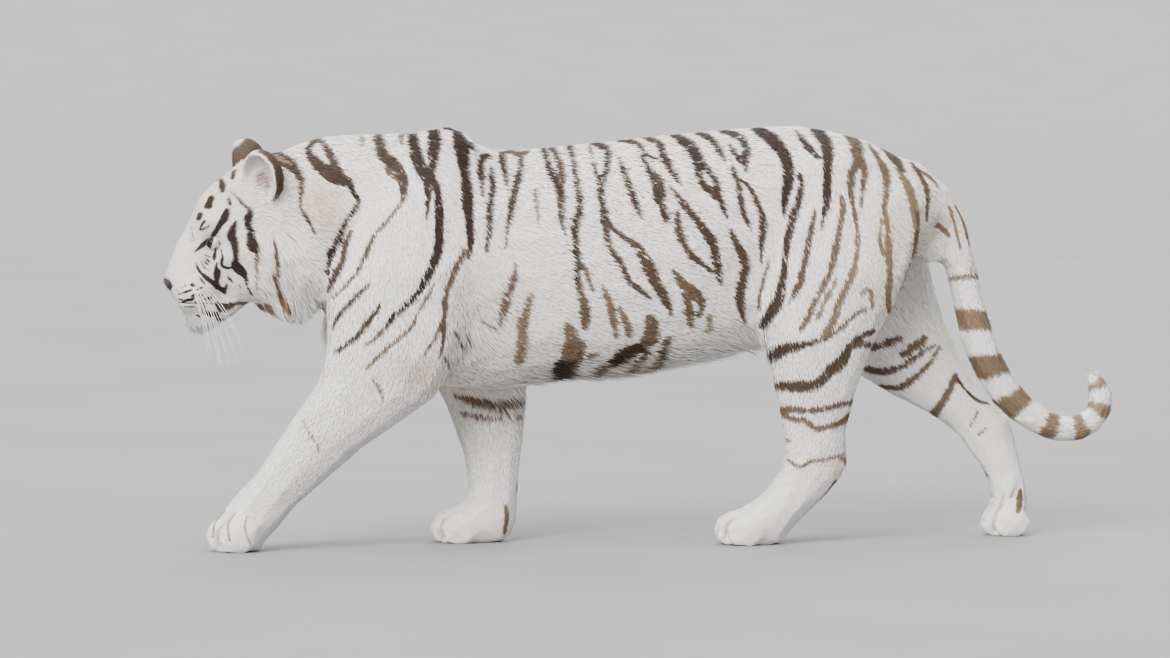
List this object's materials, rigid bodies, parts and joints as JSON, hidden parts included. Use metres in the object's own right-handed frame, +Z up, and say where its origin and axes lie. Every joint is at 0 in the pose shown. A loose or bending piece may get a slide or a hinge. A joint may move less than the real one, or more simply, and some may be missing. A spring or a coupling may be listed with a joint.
{
  "type": "white tiger",
  "caption": "Life-size still model of an adult male white tiger in mid-stride, head low, mouth shut and tail curled up at its tip, standing on its own paws.",
  "frame": {"origin": "on the floor under the middle of the animal's box", "axes": "+Z up; the tiger walks towards -X, so its left side is at -Y and its tail at +X"},
  "size_m": [2.3087, 0.4203, 1.0015],
  "materials": {
    "coat": "short white fur with dark brown stripes",
    "tail_coat": "white fur with brown rings",
    "ear_coat": "pale inner hair, dark brown backs with a white spot",
    "nose_leather": "pink-brown pebbled skin, slightly moist",
    "eye": "glossy pale blue iris, dark pupil",
    "claw": "translucent pale horn"
  },
  "bodies": {
    "root": {"head": "coat", "muzzle": "coat", "lower_jaw": "coat", "neck": "coat", "chest": "coat", "belly": "coat", "rump": "coat", "scrotum": "coat", "upper_arm_left": "coat", "upper_arm_right": "coat", "forearm_left": "coat", "forearm_right": "coat", "forepaw_left": "coat", "forepaw_right": "coat", "thigh_left": "coat", "thigh_right": "coat", "shank_left": "coat", "shank_right": "coat", "metatarsus_left": "coat", "metatarsus_right": "coat", "hindpaw_left": "coat", "hindpaw_right": "coat", "tail_root": "tail_coat", "tail_upper": "tail_coat", "tail_middle": "tail_coat", "tail_tip": "tail_coat", "ear_left": "ear_coat", "ear_right": "ear_coat", "nose": "nose_leather", "eye_left": "eye", "eye_right": "eye", "claw_forepaw_left_1": "claw", "claw_forepaw_left_2": "claw", "claw_forepaw_left_3": "claw", "claw_forepaw_left_4": "claw", "claw_forepaw_right_1": "claw", "claw_forepaw_right_2": "claw", "claw_forepaw_right_3": "claw", "claw_forepaw_right_4": "claw", "claw_hindpaw_left_1": "claw", "claw_hindpaw_left_2": "claw", "claw_hindpaw_left_3": "claw", "claw_hindpaw_left_4": "claw", "claw_hindpaw_right_1": "claw", "claw_hindpaw_right_2": "claw", "claw_hindpaw_right_3": "claw", "claw_hindpaw_right_4": "claw"}
  },
  "joints": []
}
